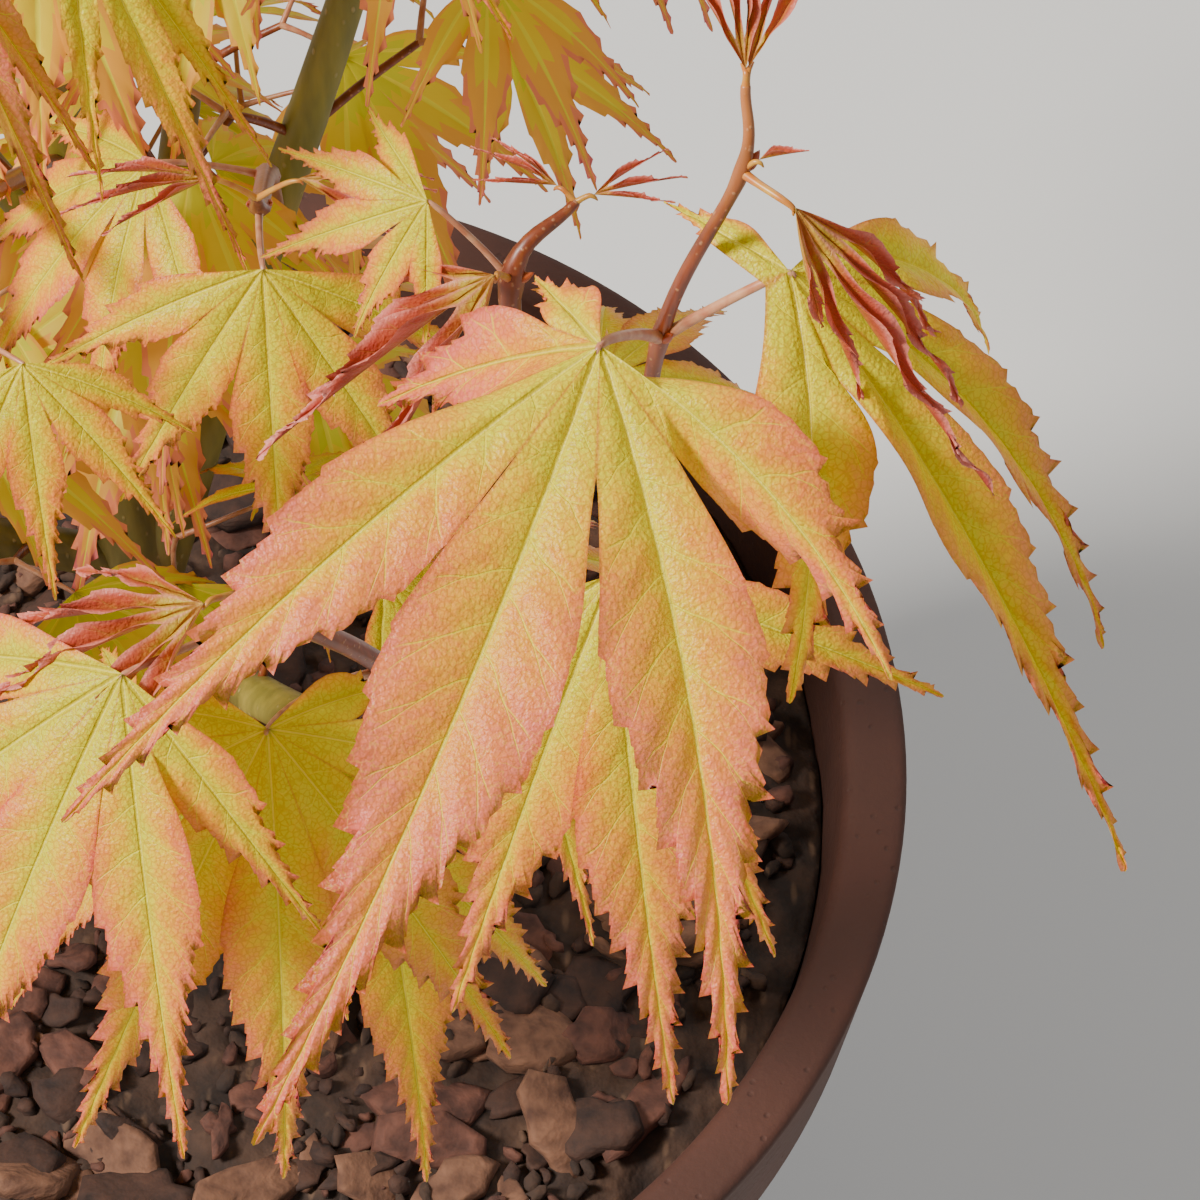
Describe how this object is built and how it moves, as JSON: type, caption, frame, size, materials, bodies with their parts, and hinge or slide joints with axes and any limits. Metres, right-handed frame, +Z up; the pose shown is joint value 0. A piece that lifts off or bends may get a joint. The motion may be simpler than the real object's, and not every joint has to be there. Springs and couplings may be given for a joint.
{
  "type": "potted japanese maple",
  "caption": "Young japanese maple in fresh spring leaf: a slim trunk with spreading boughs and hanging, deeply lobed leaves, growing in compost in a round clay pot.",
  "frame": {"origin": "centre of the pot's flat underside, on the surface it stands on", "axes": "+Z up along the pot's axis; -Y towards the viewer, where the front shoot hangs over the rim; +X to the right"},
  "size_m": [0.3037, 0.3224, 0.485],
  "materials": {
    "clay": "matt",
    "compost": "rough",
    "bark": "satin",
    "foliage": "satin"
  },
  "bodies": {
    "root": {"pot": "clay", "compost": "compost", "trunk": "bark", "bough_right": "bark", "bough_front": "bark", "bough_left": "bark", "bough_back": "bark", "bough_side": "bark", "bough_back_left": "bark", "foliage_front": "foliage", "foliage_front_middle": "foliage", "foliage_front_left": "foliage", "foliage_inner": "foliage", "foliage_inner_left": "foliage", "foliage_upper_front": "foliage", "foliage_top": "foliage", "foliage_top_left": "foliage", "foliage_right_top": "foliage", "foliage_right": "foliage", "foliage_left": "foliage", "foliage_left_front": "foliage", "foliage_back": "foliage", "foliage_back_right": "foliage", "foliage_back_left": "foliage"}
  },
  "joints": []
}
